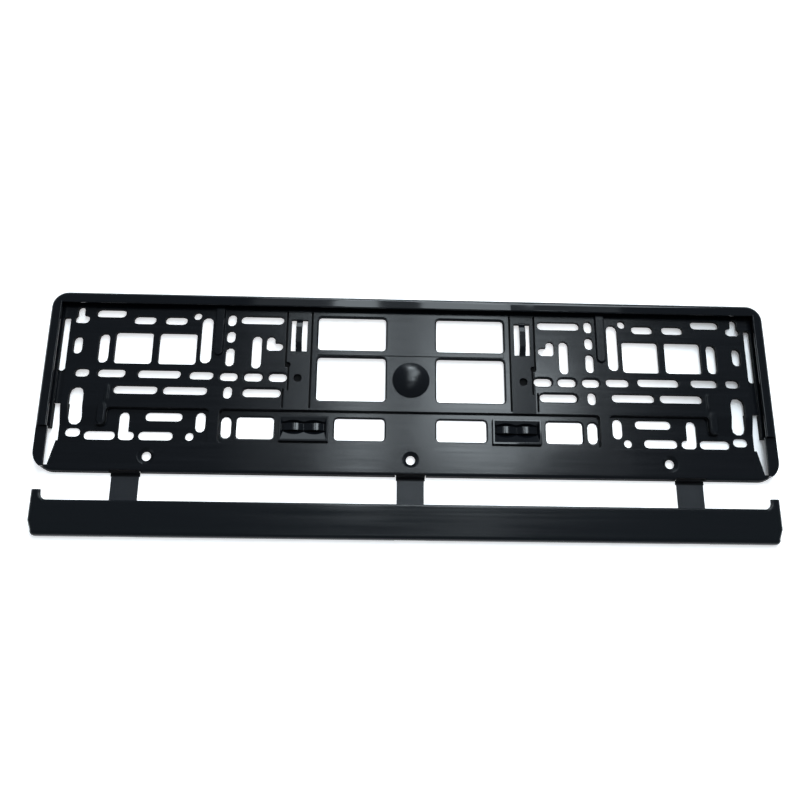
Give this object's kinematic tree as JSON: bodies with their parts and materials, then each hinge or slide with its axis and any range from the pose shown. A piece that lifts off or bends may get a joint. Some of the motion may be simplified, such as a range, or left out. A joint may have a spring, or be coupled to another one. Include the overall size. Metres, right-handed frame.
{
  "type": "number plate holder",
  "caption": "Flat plastic holder for a car's number plate: a slotted base with a gripping rim, and a cover strip on folding straps that closes over the plate's lower edge.",
  "frame": {"origin": "on the back, in the middle of the band that lies against the car", "axes": "+X to the right along the plate, +Y to the plate's top edge, +Z out of the front"},
  "size_m": [0.532, 0.1797, 0.0114],
  "materials": {
    "base_plastic": "satin",
    "strip_plastic": "gloss",
    "strap_plastic": "matte"
  },
  "bodies": {
    "base": {"base": "base_plastic"},
    "straps": {"strap_left": "strap_plastic", "strap_centre": "strap_plastic", "strap_right": "strap_plastic"},
    "strip": {"cover_strip": "strip_plastic"}
  },
  "joints": [
    {"name": "strap_fold", "type": "hinge", "parent": "base", "child": "straps", "pos_m": [0, -0.0344, 0.0031], "axis": [-1, 0, 0], "range_deg": [0, 180]},
    {"name": "strip_fold", "type": "hinge", "parent": "straps", "child": "strip", "pos_m": [0, -0.05665, 0.0005], "axis": [-1, 0, 0], "range_deg": [-180, 0]}
  ],
  "couplings": [
    {"joint": "strip_fold", "follows": "strap_fold", "ratio": -1}
  ]
}
